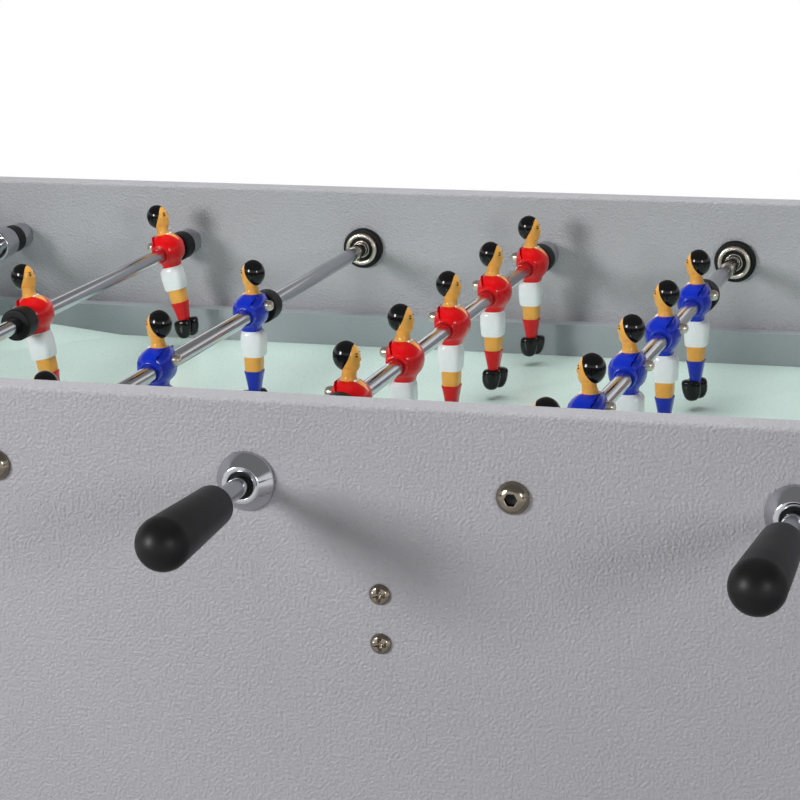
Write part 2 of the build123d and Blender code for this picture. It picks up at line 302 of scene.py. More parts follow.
class Finish(Nodes):
    """Material under construction, with its shader at hand."""

    def __init__(self, name):
        self.material = bpy.data.materials.new(name)
        self.material.use_nodes = True
        super().__init__(self.material.node_tree)
        self.shader = self.tree.nodes["Principled BSDF"]

    def colour(self, mask, first, second):
        """Vary the base colour by a mask."""
        self.link(self.mix(mask, first, second), self.shader.inputs["Base Color"])

    def roughness(self, mask, low, high):
        """Vary the roughness by a mask."""
        self.link(self.ramp(mask, low, high), self.shader.inputs["Roughness"])

    def relief(self, height, distance, strength):
        """Bump the surface."""
        bump = self.node("ShaderNodeBump")
        bump.inputs["Distance"].default_value = distance
        bump.inputs["Strength"].default_value = strength
        self.link(height, bump.inputs["Height"])
        self.link(bump.outputs["Normal"], self.shader.inputs["Normal"])

    def set(self, **values):
        """Set plain values on the shader."""
        for name, value in values.items():
            self.shader.inputs[name.replace("_", " ")].default_value = value


def scaled(colour, factor):
    """Colour made lighter or darker."""
    return tuple(min(1.0, value * factor) for value in colour)


def textured_coat(name, colour, grain, depth, rough):
    """Matt coat with a fine pebbled relief and faint clouds."""
    finish = Finish(name)
    effect = finish.group(grain_group(), Grain=grain, Clouds=7.0)
    finish.colour(effect.outputs["Cloud"], scaled(colour, 0.92), scaled(colour, 1.06))
    finish.roughness(effect.outputs["Height"], rough - 0.08, rough + 0.08)
    finish.relief(effect.outputs["Height"], depth, 0.6)
    return finish.material


def plated(name, colour, low, high, depth):
    """Plated metal with turning marks and faint smudges."""
    finish = Finish(name)
    effect = finish.group(turning_group())
    finish.set(Metallic=1.0)
    finish.colour(effect.outputs["Smudge"], scaled(colour, 0.93), colour)
    finish.roughness(effect.outputs["Smudge"], low, high)
    finish.relief(effect.outputs["Height"], depth, 0.25)
    return finish.material


def moulded(name, colour, rough, grain):
    """Moulded plastic or rubber with a fine skin and handling marks."""
    finish = Finish(name)
    effect = finish.group(grain_group(), Grain=grain, Clouds=40.0)
    finish.set(Specular_IOR_Level=0.22)
    finish.colour(effect.outputs["Cloud"], scaled(colour, 0.8), scaled(colour, 1.5))
    finish.roughness(effect.outputs["Cloud"], rough - 0.1, rough + 0.1)
    finish.relief(effect.outputs["Height"], 0.15 * mm, 0.35)
    return finish.material


def enamel(name, low, high, rough):
    """Brushed enamel on a cast player, a little uneven."""
    finish = Finish(name)
    effect = finish.group(grain_group(), Grain=420.0, Clouds=160.0)
    finish.set(Specular_IOR_Level=0.12, Coat_Weight=0.5, Coat_Roughness=0.05)
    finish.colour(effect.outputs["Cloud"], low, high)
    finish.roughness(effect.outputs["Cloud"], rough - 0.06, rough + 0.08)
    finish.relief(effect.outputs["Height"], 0.2 * mm, 0.3)
    return finish


def jersey(name, colour):
    """Team enamel with a skin-coloured neck opening."""
    finish = enamel(name, scaled(colour, 0.8), scaled(colour, 1.1), 0.3)
    place = finish.node("ShaderNodeTexCoord")
    axis = finish.node("ShaderNodeSeparateXYZ")
    finish.link(place.outputs["Object"], axis.inputs[0])
    x, y, z = axis.outputs
    side = finish.math("ABSOLUTE", y, 0.0)
    opening_foot = 7.5 * mm
    opening_slope = 0.62
    rise = finish.math("SUBTRACT", z, opening_foot)
    inside = finish.math("SUBTRACT", finish.math("MULTIPLY", rise, opening_slope), side)
    in_neck = finish.math("GREATER_THAN", inside, 0.0)
    in_front = finish.math("GREATER_THAN", x, 0.0)
    opening = finish.math("MULTIPLY", in_neck, in_front)
    cloth = finish.shader.inputs["Base Color"].links[0].from_socket
    finish.colour(opening, cloth, colours().skin[:])
    return finish.material


def finishes():
    """All finishes of the table, by name, made once."""
    made = [material for material in bpy.data.materials if material.name.startswith("Foosball ")]
    if made:
        return {material.name: material for material in made}
    c = colours()
    skin = tuple(c.skin)
    shorts = tuple(c.shorts)
    hair = tuple(c.hair)
    textured_coat("Foosball board", tuple(c.board), 560.0, 2.4 * mm, 0.42)
    textured_coat("Foosball strip", tuple(c.strip), 700.0, 0.6 * mm, 0.46)
    textured_coat("Foosball fibreboard", tuple(c.fibre), 900.0, 0.6 * mm, 0.8)
    textured_coat("Foosball field", tuple(c.field), 500.0, 0.02 * mm, 0.3)
    textured_coat("Foosball legs", tuple(c.legs), 800.0, 0.25 * mm, 0.5)
    textured_coat("Foosball chute", tuple(c.sheet), 700.0, 0.2 * mm, 0.5)
    plated("Foosball chrome", tuple(c.chrome), 0.07, 0.16, 0.04 * mm)
    plated("Foosball nickel", tuple(c.nickel), 0.22, 0.34, 0.01 * mm)
    plated("Foosball screw", tuple(c.steel), 0.12, 0.24, 0.05 * mm)
    moulded("Foosball plastic", tuple(c.plastic), 0.42, 1500.0)
    moulded("Foosball rubber", tuple(c.rubber), 0.5, 900.0)
    jersey("Foosball red", tuple(c.red))
    jersey("Foosball blue", tuple(c.blue))
    enamel("Foosball shorts", scaled(shorts, 0.9), shorts, 0.34)
    enamel("Foosball skin", scaled(skin, 0.8), scaled(skin, 1.08), 0.34)
    enamel("Foosball hair", scaled(hair, 0.6), scaled(hair, 1.6), 0.12)
    return finishes()


# Mesh helpers
def bridge(bm, first, second, slot=0):
    """Faces between two rings, either of which may be a single point."""
    count = max(len(first), len(second))
    for i in range(count):
        j = (i + 1) % count
        near = [first[i % len(first)], first[j % len(first)]]
        far = [second[j % len(second)], second[i % len(second)]]
        face = bm.faces.new(dict.fromkeys(near + far))
        face.material_index = slot
        face.smooth = True


def finish_mesh(bm, name, materials, sharp):
    """Turn a bmesh into a shaded mesh with its finishes."""
    bmesh.ops.recalc_face_normals(bm, faces=bm.faces[:])
    mesh = bpy.data.meshes.new(name)
    bm.to_mesh(mesh)
    bm.free()
    mesh.set_sharp_from_angle(angle=math.radians(sharp))
    for material in materials:
        mesh.materials.append(finishes()[f"Foosball {material}"])
    return mesh


def eased(outline, closed):
    """Round the corners of an outline of (along, radius, easing, cut) points.

    A point may leave out its cut, or both its easing and its cut.
    """
    smooth = []
    last = len(outline) - 1
    plain = [0, None]
    for i, (along, radius, *given) in enumerate(outline):
        ease, cut = given + plain[len(given):]
        corner = Vector((along, radius))
        if ease == 0 or (not closed and i in (0, last)):
            smooth.append((along, radius, cut))
            continue
        before = Vector(outline[i - 1][:2]) - corner
        after = Vector(outline[(i + 1) % len(outline)][:2]) - corner
        start = corner + before.normalized() * min(ease, before.length / 2)
        end = corner + after.normalized() * min(ease, after.length / 2)
        for step in (0, 0.25, 0.5, 0.75, 1):
            point = start.lerp(corner, step).lerp(corner.lerp(end, step), step)
            smooth.append((point.x, point.y, cut))
    return smooth


def cut_radius(radius, cut, angle):
    """Radius of a round, hexagonal or cross-shaped ring at an angle."""
    if cut == "hexagon":
        return radius / math.cos((angle % (math.pi / 3)) - math.pi / 6)
    if cut == "cross":
        arm = radius / 3.2    # half width of the arms
        least = 1e-6
        over = max(abs(math.cos(angle)), least)
        up = max(abs(math.sin(angle)), least)
        return max(min(radius / over, arm / up), min(radius / up, arm / over))
    return radius


def lathe(name, outline, material, closed=False, segments=64, sharp=35, pit_shade=None):
    """Mesh turned about x from an outline, with a second, dark finish on its last two bands as
    painted shade at the bottom of a pit.
    """
    bm = bmesh.new()
    rings = []
    for along, radius, cut in eased(outline, closed):
        if radius == 0:
            rings.append([bm.verts.new((along, 0, 0))])
            continue
        ring = []
        for i in range(segments):
            angle = 2 * math.pi * i / segments
            reach = cut_radius(radius, cut, angle)
            ring.append(bm.verts.new((along, reach * math.cos(angle), reach * math.sin(angle))))
        rings.append(ring)
    following = rings[1:] + rings[:1] if closed else rings[1:]
    for i, (first, second) in enumerate(zip(rings, following)):
        in_pit_shade = pit_shade and i >= len(rings) - 3
        bridge(bm, first, second, 1 if in_pit_shade else 0)
    return finish_mesh(bm, name, [material, pit_shade] if pit_shade else [material], sharp)


def set_piece(name, mesh, place, body, node):
    """Put a piece in the table, riding on a body in place of a node."""
    piece = bpy.data.objects.new(name, mesh)
    bpy.context.scene.collection.objects.link(piece)
    piece.matrix_world = place
    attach(piece, body)
    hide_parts(node)
    return piece


def coat_nodes(material, *nodes):
    """Give carried-over nodes a finish."""
    for node in nodes:
        slots = frame["nodes"][node].data.materials
        slots.clear()
        slots.append(finishes()[f"Foosball {material}"])


class FOOSBALL_OT_cabinet(bpy.types.Operator):
    """Coat the boards, decks and legs of the cabinet"""

    bl_idname = "foosball.cabinet"
    bl_label = "Cabinet"

    def execute(self, context):
        for side in ("front", "back"):
            coat_nodes("board", f"side_panel_{side}")
        for end in ("left", "right"):
            coat_nodes("board", f"goal_wall_{end}", f"end_panel_{end}")
        coat_nodes("board", "end_decks")
        coat_nodes("legs", "legs")
        coat_nodes("plastic", "levelling_feet")
        return {"FINISHED"}


class FOOSBALL_OT_field(bpy.types.Operator):
    """Finish the playing surface, its strips and ramps and the ball chutes"""

    bl_idname = "foosball.field"
    bl_label = "Field"

    def execute(self, context):
        coat_nodes("field", "playing_surface", "corner_ramps")
        coat_nodes("strip", "side_strips")
        coat_nodes("fibreboard", "field_board")
        coat_nodes("chute", "goal_chutes")
        return {"FINISHED"}


class FOOSBALL_OT_bearings(bpy.types.Operator):
    """Turn the black rings, bearing housings and conical nuts"""

    bl_idname = "foosball.bearings"
    bl_label = "Bearings"

    def execute(self, context):
        edge = sizes().edge
        soft = sizes().rubber_edge
        soft_rim = 1.6 * mm
        ring_hole = 10.3 * mm
        ring_radius = 16.0 * mm
        rim_face = ring_face - 4.0 * mm
        rim_radius = 12.8 * mm
        bore = 9.25 * mm
        sleeve_radius = 10.0 * mm
        sleeve_end = outer_wall + 7.0 * mm
        nut_top = span("bearing_nuts")[1]
        nut_thread = 10.05 * mm
        nut_seat = outer_wall + 7.3 * mm
        nut_hole = 7.5 * mm
        recess_face = rim_face + 2.0 * mm
        recess_radius = 9.2 * mm
        recess_neck = 7.4 * mm
        recess_end = nut_top - 1.0 * mm
        bush_face = rim_face + 0.8 * mm
        bush_end = rim_face + 6.0 * mm
        bush_hole = 5.9 * mm
        bush_radius = 6.7 * mm
        ring = lathe("bearing_ring", [
            (inner_wall, ring_hole),
            (inner_wall, ring_radius, 0.4 * mm),
            (ring_face, ring_radius, soft),
            (ring_face, ring_hole),
        ], "rubber", closed=True)
        housing = lathe("bearing_housing", [
            (rim_face, bore, soft_rim),
            (sleeve_end, bore),
            (sleeve_end, sleeve_radius),
            (ring_face, sleeve_radius),
            (ring_face, rim_radius, 0.3 * mm),
            (rim_face, rim_radius, soft_rim),
        ], "nickel", closed=True)
        # Black rubber lining of the housing's bore; its dark ring between rim and bush is partly
        # painted shade of the gap there.
        recess = lathe("bearing_recess", [
            (recess_face, loose_hole),
            (recess_face, recess_radius),
            (sleeve_end, recess_radius),
            (sleeve_end, recess_neck),
            (recess_end, recess_neck, 0.3 * mm),
            (recess_end, loose_hole),
        ], "rubber", closed=True)
        bush = lathe("bearing_bush", [
            (bush_face, bush_hole, 0.2 * mm),
            (bush_face, bush_radius, 0.2 * mm),
            (bush_end, bush_radius),
            (bush_end, bush_hole),
        ], "nickel", closed=True)
        nut = lathe("bearing_nut", [
            (outer_wall, nut_thread),
            (nut_seat, nut_thread),
            (nut_seat, nut_hole),
            (nut_top, nut_hole, edge),
            (nut_top, 10.5 * mm, edge),
            (outer_wall + 2.0 * mm, 16.6 * mm, 0.5 * mm),
            (outer_wall, 17.0 * mm, 0.4 * mm),
        ], "chrome", closed=True)
        pieces = (
            ("bearing_ring", ring, "bearing_rings", "black_rubber"),
            ("bearing_housing", housing, "bearing_housings", "nickel"),
            ("bearing_recess", recess, "bearing_housings", "black_rubber"),
            ("bearing_bush", bush, "bearing_housings", "nickel"),
            ("bearing_nut", nut, "bearing_nuts", "chrome"),
        )
        for rod in rods:
            place = across(rod_x(rod), rod_z(rod), handle_side(rod))
            for name, mesh, node, slot in pieces:
                set_piece(f"{name}_{rod}", mesh, place, "cabinet", node)
        return {"FINISHED"}


class FOOSBALL_OT_guide_bars(bpy.types.Operator):
    """Turn the flanged guide bars that the tubes slide on"""

    bl_idname = "foosball.guide_bars"
    bl_label = "Guide bars"

    def execute(self, context):
        edge = sizes().edge
        bar_radius = 4.0 * mm
        flange_face = inner_wall - 14.5 * mm
        flange_radius = 10.6 * mm
        flange_shoulder = inner_wall - 5.0 * mm
        bar_end = flange_face - 430.0 * mm
        bar = lathe("guide_bar", [
            (bar_end, 0),
            (bar_end, bar_radius, edge),
            (flange_face, bar_radius),
            (flange_face, 9.0 * mm, 1.5 * mm),
            (flange_shoulder, flange_radius, 3.0 * mm),
            (inner_wall, flange_radius, 0.4 * mm),
            (inner_wall, 0),
        ], "chrome")
        for rod in rods:
            place = across(rod_x(rod), rod_z(rod), -handle_side(rod))
            set_piece(f"guide_bar_{rod}", bar, place, "cabinet", "guide_bars")
        return {"FINISHED"}


class FOOSBALL_OT_fasteners(bpy.types.Operator):
    """Turn the button-head bolts and the cross-recess screws"""

    bl_idname = "foosball.fasteners"
    bl_label = "Bolts and screws"

    def execute(self, context):
        socket = sizes().socket / 2
        recess = sizes().recess / 2
        top = outer_wall + 5.5 * mm
        # The bottom of the bolt's hexagon socket takes the black plastic finish as painted shade.
        bolt = lathe("button_bolt", [
            (outer_wall, 0),
            (outer_wall, bolt_radius, 0.3 * mm),
            (outer_wall + 1.2 * mm, bolt_radius, 0.6 * mm),
            (outer_wall + 4.4 * mm, 7.2 * mm, 2.0 * mm),
            (top, 4.6 * mm, 0.6 * mm),
            (top, socket * 1.1, 0.2 * mm, "hexagon"),
            (top - 0.5 * mm, socket, 0.2 * mm, "hexagon"),
            (top - 3.2 * mm, socket, 0, "hexagon"),
            (top - 4.0 * mm, 0),
        ], "screw", segments=72, pit_shade="plastic")
        head = outer_wall + 3.0 * mm
        screw = lathe("panel_screw", [
            (outer_wall, 0),
            (outer_wall, screw_radius, 0.3 * mm),
            (outer_wall + 0.7 * mm, screw_radius, 0.4 * mm),
            (outer_wall + 2.4 * mm, 4.8 * mm, 1.0 * mm),
            (head, recess * 1.06, 0.1 * mm, "cross"),
            (head - 0.3 * mm, recess, 0.1 * mm, "cross"),
            (head - 1.4 * mm, recess * 0.6, 0, "cross"),
            (head - 2.2 * mm, 0),
        ], "screw", segments=96)
        for rod in rods:
            place = across(rod_x(rod), rod_z(rod), -handle_side(rod))
            set_piece(f"bar_bolt_{rod}", bolt, place, "cabinet", "button_bolts")
        low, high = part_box("legs")
        leg_half = 40.0 * mm
        ends = {"left": low[0] + leg_half, "right": high[0] - leg_half}
        faces = {"front": -1, "back": 1}
        bolt_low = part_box("button_bolts")[0]
        upper_drop = 63.0 * mm
        bolt_levels = {"low": bolt_low[2] + bolt_radius, "high": rail_top - upper_drop}
        for end, x in ends.items():
            for face, side in faces.items():
                for level, z in bolt_levels.items():
                    name = f"leg_bolt_{end}_{face}_{level}"
                    place = across(x, z, side)
                    set_piece(name, bolt, place, "cabinet", "button_bolts")
        low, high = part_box("panel_screws")
        screw_levels = {"low": low[2] + screw_radius, "high": high[2] - screw_radius}
        for face, side in faces.items():
            for level, z in screw_levels.items():
                name = f"panel_screw_{face}_{level}"
                place = across(0, z, side)
                set_piece(name, screw, place, "cabinet", "panel_screws")
        return {"FINISHED"}


class FOOSBALL_OT_tubes(bpy.types.Operator):
    """Turn the chromed tubes and the stop collars of the keepers"""

    bl_idname = "foosball.tubes"
    bl_label = "Tubes"

    def execute(self, context):
        collar_edge = sizes().edge * 1.5
        bore = 4.1 * mm
        collar_half = 11.0 * mm
        collar_radius = 12.5 * mm
        collar_reach = 165.0 * mm
        for rod in rods:
            side = handle_side(rod)
            body = f"{rod}_turning"
            node = f"{rod}_tube"
            low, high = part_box(node)
            start, end = sorted((side * low[1], side * high[1]))
            tube = lathe(f"tube_{rod}", [
                (start, bore, 0.2 * mm),
                (start, tube_radius, 0.4 * mm),
                (end, tube_radius, 0.4 * mm),
                (end, bore, 0.2 * mm),
            ], "chrome", closed=True)
            place = across(rod_x(rod), rod_z(rod), side)
            set_piece(f"tube_{rod}", tube, place, body, node)
            if not rod.endswith("keeper"):
                continue
            for end_name, reach in (("wall", -collar_reach), ("handle", collar_reach)):
                name = f"stop_collar_{rod}_{end_name}"
                centre = side * middle(f"{rod}_players", 1) + reach
                collar = lathe(name, [
                    (centre - collar_half, tight_hole, 0.2 * mm),
                    (centre - collar_half, collar_radius, collar_edge),
                    (centre + collar_half, collar_radius, collar_edge),
                    (centre + collar_half, tight_hole, 0.2 * mm),
                ], "chrome", closed=True)
                set_piece(name, collar, place, body, node)
        return {"FINISHED"}


class FOOSBALL_OT_handles(bpy.types.Operator):
    """Turn the tapered black handles"""

    bl_idname = "foosball.handles"
    bl_label = "Handles"

    def execute(self, context):
        soft = sizes().rubber_edge
        start, tip = span(f"{rods[0]}_handle")
        dome = 14.5 * mm
        neck = 11.5 * mm
        socket_end = start + 58.0 * mm
        outline = [
            (socket_end, 0),
            (socket_end, tight_hole),
            (start, tight_hole, 0.4 * mm),
            (start, neck, soft),
        ]
        steps = 12
        for i in range(steps):
            turn = math.pi / 2 * i / steps
            outline.append((tip - dome + dome * math.sin(turn), dome * math.cos(turn)))
        outline.append((tip, 0))
        handle = lathe("handle", outline, "plastic", sharp=60)
        for rod in rods:
            place = across(rod_x(rod), rod_z(rod), handle_side(rod))
            body = f"{rod}_turning"
            set_piece(f"handle_{rod}", handle, place, body, f"{rod}_handle")
        return {"FINISHED"}


class FOOSBALL_OT_bumpers(bpy.types.Operator):
    """Turn the rubber bumpers at the ends of each row"""

    bl_idname = "foosball.bumpers"
    bl_label = "Bumpers"

    def execute(self, context):
        soft = sizes().rubber_edge
        half = 8.0 * mm
        radius = 11.3 * mm
        bumper = lathe("bumper", [
            (-half, loose_hole, 0.3 * mm),
            (-half, radius, soft),
            (half, radius, soft),
            (half, loose_hole, 0.3 * mm),
        ], "rubber", closed=True)
        for rod in rods:
            body = f"{rod}_carriage"
            node = f"{rod}_bumpers"
            low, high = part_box(node)
            for end, y in (("front", low[1] + half), ("back", high[1] - half)):
                place = Matrix.Translation((0, y, 0)) @ across(rod_x(rod), rod_z(rod), 1)
                set_piece(f"bumper_{rod}_{end}", bumper, place, body, node)
        return {"FINISHED"}


# Sections of a player from sock to neck, in millimetres from the rod axis:
# level, reach to the back, reach to the front, half width, squareness, finish of the band above
sections = [
    (-60.0, 3.9, 3.6, 6.0, 2.6, "team"),
    (-56.0, 4.1, 3.9, 6.3, 2.6, "team"),
    (-50.0, 5.1, 4.9, 6.9, 2.7, "team"),
    (-44.0, 6.2, 6.0, 7.6, 2.9, "team"),
    (-42.3, 6.6, 6.4, 8.0, 3.0, "team"),
    (-41.5, 6.6, 6.4, 8.0, 3.0, "team"),
    (-41.3, 6.0, 5.8, 7.4, 3.0, "skin"),
    (-40.2, 6.1, 5.9, 7.3, 3.0, "skin"),
    (-36.0, 6.4, 6.3, 7.5, 3.0, "skin"),
    (-30.9, 6.4, 6.3, 7.5, 3.0, "skin"),
    (-30.7, 7.9, 7.1, 8.2, 3.2, "shorts"),
    (-29.5, 8.6, 7.7, 8.7, 3.2, "shorts"),
    (-21.5, 9.2, 8.3, 9.2, 3.2, "shorts"),
    (-15.5, 9.1, 8.1, 9.1, 3.2, "shorts"),
    (-13.3, 8.0, 7.7, 8.7, 3.0, "shorts"),
    (-12.2, 6.2, 7.3, 8.2, 2.8, "shorts"),
    (-12.0, 5.8, 7.6, 8.4, 2.6, "team"),
    (-10.2, 5.6, 8.1, 8.6, 2.5, "team"),
    (-8.3, 6.4, 9.0, 9.8, 2.4, "team"),
    (-7.0, 7.8, 10.2, 11.6, 2.4, "team"),
    (-5.5, 9.2, 11.4, 13.6, 2.4, "team"),
    (-3.0, 10.2, 12.6, 15.0, 2.4, "team"),
    (1.0, 10.9, 13.5, 15.4, 2.3, "team"),
    (5.0, 11.0, 13.3, 15.2, 2.3, "team"),
    (8.0, 10.6, 12.2, 14.4, 2.3, "team"),
    (10.5, 9.8, 10.3, 12.8, 2.3, "team"),
    (12.8, 8.6, 7.8, 10.4, 2.2, "team"),
    (14.0, 7.6, 5.9, 8.2, 2.1, "team"),
    (14.4, 6.9, 5.3, 7.0, 2.0, "team"),
    (14.5, 6.2, 4.9, 5.8, 2.0, "skin"),
    (15.8, 5.3, 4.6, 5.1, 2.0, "skin"),
    (17.5, 4.6, 4.6, 4.8, 2.0, "skin"),
    (20.0, 4.1, 4.9, 4.8, 2.0, "skin"),
    (24.0, 4.2, 4.9, 4.8, 2.0, "skin"),
]
# Sections of a boot, in the same terms, about its own middle
boot_sections = [
    (-55.8, 4.6, 5.2, 3.4, 2.6, "hair"),
    (-56.4, 5.6, 6.6, 4.0, 2.6, "hair"),
    (-58.0, 6.5, 7.2, 4.3, 2.6, "hair"),
    (-61.5, 6.9, 6.9, 4.4, 2.5, "hair"),
    (-65.0, 6.7, 6.2, 4.3, 2.4, "hair"),
    (-68.0, 5.6, 5.0, 3.9, 2.2, "hair"),
    (-69.8, 4.1, 3.6, 3.0, 2.1, "hair"),
    (-70.6, 2.2, 1.9, 1.8, 2.0, "hair"),
]
# Soft swellings of the head in the same frame: middle, spread, height
face_forms = [
    ((6.8, 0, 27.4), 1.5, 1.3),        # nose
    ((6.4, 0, 29.6), 1.2, 0.5),        # bridge of the nose
    ((3.6, 0, 21.6), 3.6, 2.6),        # chin
    ((5.2, 0, 24.4), 1.4, 0.7),        # mouth
    ((5.6, -2.7, 31.2), 1.5, 0.4),     # right brow
    ((5.9, -2.7, 29.4), 1.3, -0.6),    # hollow of the right eye
    ((1.6, -5.2, 23.6), 2.6, 0.7),     # right jaw
    ((5.6, 2.7, 31.2), 1.5, 0.4),      # left brow
    ((5.9, 2.7, 29.4), 1.3, -0.6),     # hollow of the left eye
    ((1.6, 5.2, 23.6), 2.6, 0.7),      # left jaw
]
slit_start = 5.0       # level from which the clamp slit parts the back from the chest
slit_slope = -0.483    # place of the slit, front to back, for each millimetre of level
back_start = 1.0       # level from which the back is a form of its own
paints = ("team", "shorts", "skin", "hair")
around = 36            # points of a section


def section_ring(bm, row, middle=(0.0, 0.0), part=None):
    """Ring of a section, drawn in between the legs and parted at the clamp slit."""
    level, back, front, half_width, squareness = row[:5]
    slit = slit_slope * level
    gap = sizes().slit / mm / 2
    groove = sizes().groove / mm
    groove_spread = 1.3
    ring = []
    for i in range(around):
        angle = 2 * math.pi * i / around
        over, up = math.cos(angle), math.sin(angle)
        reach = front if over > 0 else back
        x = math.copysign(abs(over) ** (2 / squareness), over) * reach
        y = math.copysign(abs(up) ** (2 / squareness), up) * half_width
        if row[5] in ("shorts", "skin") and level < 0:
            x -= math.copysign(groove * math.exp(-((y / groove_spread) ** 2)), over)
        if part == "chest":
            x = max(x, slit + gap)
        if part == "back":
            x = min(x, slit - gap)
        ring.append(bm.verts.new(Vector((x + middle[0], y + middle[1], level)) * mm))
    return ring


def shell(bm, rows, middle=(0.0, 0.0), part=None):
    """Closed form through a list of sections."""
    rings = []
    for row in rows:
        is_parted = row[0] >= slit_start
        rings.append(section_ring(bm, row, middle, part if is_parted else None))
    for row, first, second in zip(rows, rings, rings[1:]):
        bridge(bm, first, second, paints.index(row[5]))
    for row, end in ((rows[0], rings[0]), (rows[-1], rings[-1])):
        bm.faces.new(end).material_index = paints.index(row[5])


def face_relief(place):
    """Outward relief of the head at a place."""
    return sum(
        height * math.exp(-((place - Vector(centre)).length / spread) ** 2)
        for centre, spread, height in face_forms
    )


def head(bm):
    """Head with a hair cap, in rings about the slanted hairline so that its edge is crisp."""
    centre = Vector((-1.5, 0, 29.2))
    half = Vector((8.3, 7.2, 9.3))
    forward = Vector((0.927, 0, -0.375))
    upward = Vector((0.375, 0, 0.927))
    steps = 32
    face_rings = 16
    hair_rings = 14
    hair_size = 1.03
    rings = []
    for i in range(face_rings + hair_rings + 2):
        is_hair = i > face_rings
        ring = []
        for k in range(1 if i in (0, face_rings + hair_rings + 1) else steps):
            angle = 2 * math.pi * k / steps
            # 74 degrees from the middle of the face at the forehead, 68 at the temples, 87 behind
            hairline = math.radians(74 + 6.5 * (1 - math.cos(angle)) - 12.5 * math.sin(angle) ** 2)
            turn = hairline * i / face_rings
            if is_hair:
                turn = hairline + (math.pi - hairline) * (i - face_rings - 1) / hair_rings
            outward = upward * math.cos(angle) + Vector((0, math.sin(angle), 0))
            way = forward * math.cos(turn) + outward * math.sin(turn)
            place = centre + way * half * (hair_size if is_hair else 1.0)
            if not is_hair:
                place = place + way * face_relief(place)
            ring.append(bm.verts.new(place * mm))
        rings.append(ring)
    for i, (first, second) in enumerate(zip(rings, rings[1:])):
        bridge(bm, first, second, paints.index("hair" if i >= face_rings else "skin"))


def blob(bm, centre, half, slot, steps):
    """Closed rounded form, such as an eye, a brow or a collar tip."""
    rows = 6
    rings = []
    for i in range(rows + 1):
        turn = math.pi * i / rows - math.pi / 2
        ring = []
        for k in range(1 if i in (0, rows) else steps):
            angle = 2 * math.pi * k / steps
            x = centre[0] + half[0] * math.cos(turn) * math.cos(angle)
            y = centre[1] + half[1] * math.cos(turn) * math.sin(angle)
            z = centre[2] + half[2] * math.sin(turn)
            ring.append(bm.verts.new(Vector((x, y, z)) * mm))
        rings.append(ring)
    for first, second in zip(rings, rings[1:]):
        bridge(bm, first, second, slot)


def rod_boss(bm, side):
    """Raised lip round the rod hole on one flank, thin below the rod."""
    hole = loose_hole / mm
    outline = [(12.5, 7.6), (15.9, 7.3, 0.7), (16.7, 6.7, 0.5), (16.6, hole, 0.3)]
    rings = []
    for along, radius, _ in eased(outline, False):
        lift = (radius - hole) / 2
        ring = []
        for i in range(around):
            angle = 2 * math.pi * i / around
            x = radius * math.cos(angle)
            z = radius * math.sin(angle) + lift
            ring.append(bm.verts.new(Vector((x, side * along, z)) * mm))
        rings.append(ring)
    for first, second in zip(rings, rings[1:]):
        bridge(bm, first, second, paints.index("team"))


def player_mesh(team):
    """One cast player with jersey, shorts, socks, boots and a plain painted head."""
    bm = bmesh.new()
    shell(bm, sections, part="chest")
    shell(bm, [row for row in sections if row[5] == "team" and row[0] >= back_start], part="back")
    head(bm)
    for boot in ((-0.9, -4.3), (2.2, 4.3)):
        shell(bm, boot_sections[::-1], middle=boot)
    black = paints.index("hair")
    white = paints.index("shorts")
    for side in (-1, 1):
        rod_boss(bm, side)
        blob(bm, (5.95, 2.6 * side, 29.5), (0.8, 1.0, 0.5), black, steps=10)    # eye
        blob(bm, (5.85, 2.7 * side, 31.3), (0.9, 1.5, 0.35), black, steps=10)   # brow
        # The white collar tip is partly a painted highlight, a white spot for the glint at the
        # front of the neck.
        blob(bm, (4.9, 2.3 * side, 14.3), (1.3, 2.0, 0.8), white, steps=12)     # collar tip
    materials = [team if part == "team" else part for part in paints]
    return finish_mesh(bm, f"player_{team}", materials, 42)


def row_places(rod):
    """Where the players of a row stand, with their turn."""
    low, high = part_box(f"{rod}_players")
    half_torso = 16.75 * mm
    count = {"keeper": 1, "defence": 2, "midfield": 5, "attack": 3}[rod.split("_")[1]]
    first, last = low[1] + half_torso, high[1] - half_torso
    facing = Matrix.Rotation(0 if handle_side(rod) < 0 else math.pi, 4, "Z")
    lean = Matrix.Rotation(-photo_lean if rod == "red_defence" else 0, 4, "Y")
    for i in range(count):
        y = first + (last - first) * i / max(count - 1, 1)
        yield Matrix.Translation((rod_x(rod), y, rod_z(rod))) @ facing @ lean


class FOOSBALL_OT_players(bpy.types.Operator):
    """Cast the players and set them on their rods with clamp screws"""

    bl_idname = "foosball.players"
    bl_label = "Players"

    def execute(self, context):
        teams = {team: player_mesh(team) for team in ("red", "blue")}
        dome = sizes().dome / 2
        screw = lathe("clamp_screw", [
            (tube_radius, 0),
            (tube_radius, dome),
            (13.4 * mm, dome, 1.4 * mm),
            (15.6 * mm, dome * 0.66, 1.6 * mm),
            (16.0 * mm, 0),
        ], "nickel", segments=40, sharp=60)
        screw_level = 6.0 * mm
        backward = Matrix.Translation((0, 0, screw_level)) @ Matrix.Rotation(math.pi, 4, "Z")
        for rod in rods:
            team = rod.split("_")[0]
            body = f"{rod}_turning"
            for i, place in enumerate(row_places(rod), start=1):
                name = f"player_{rod}_{i}"
                set_piece(name, teams[team], place, body, f"{rod}_players")
                name = f"clamp_screw_{rod}_{i}"
                set_piece(name, screw, place @ backward, body, f"{rod}_clamp_screws")
        return {"FINISHED"}


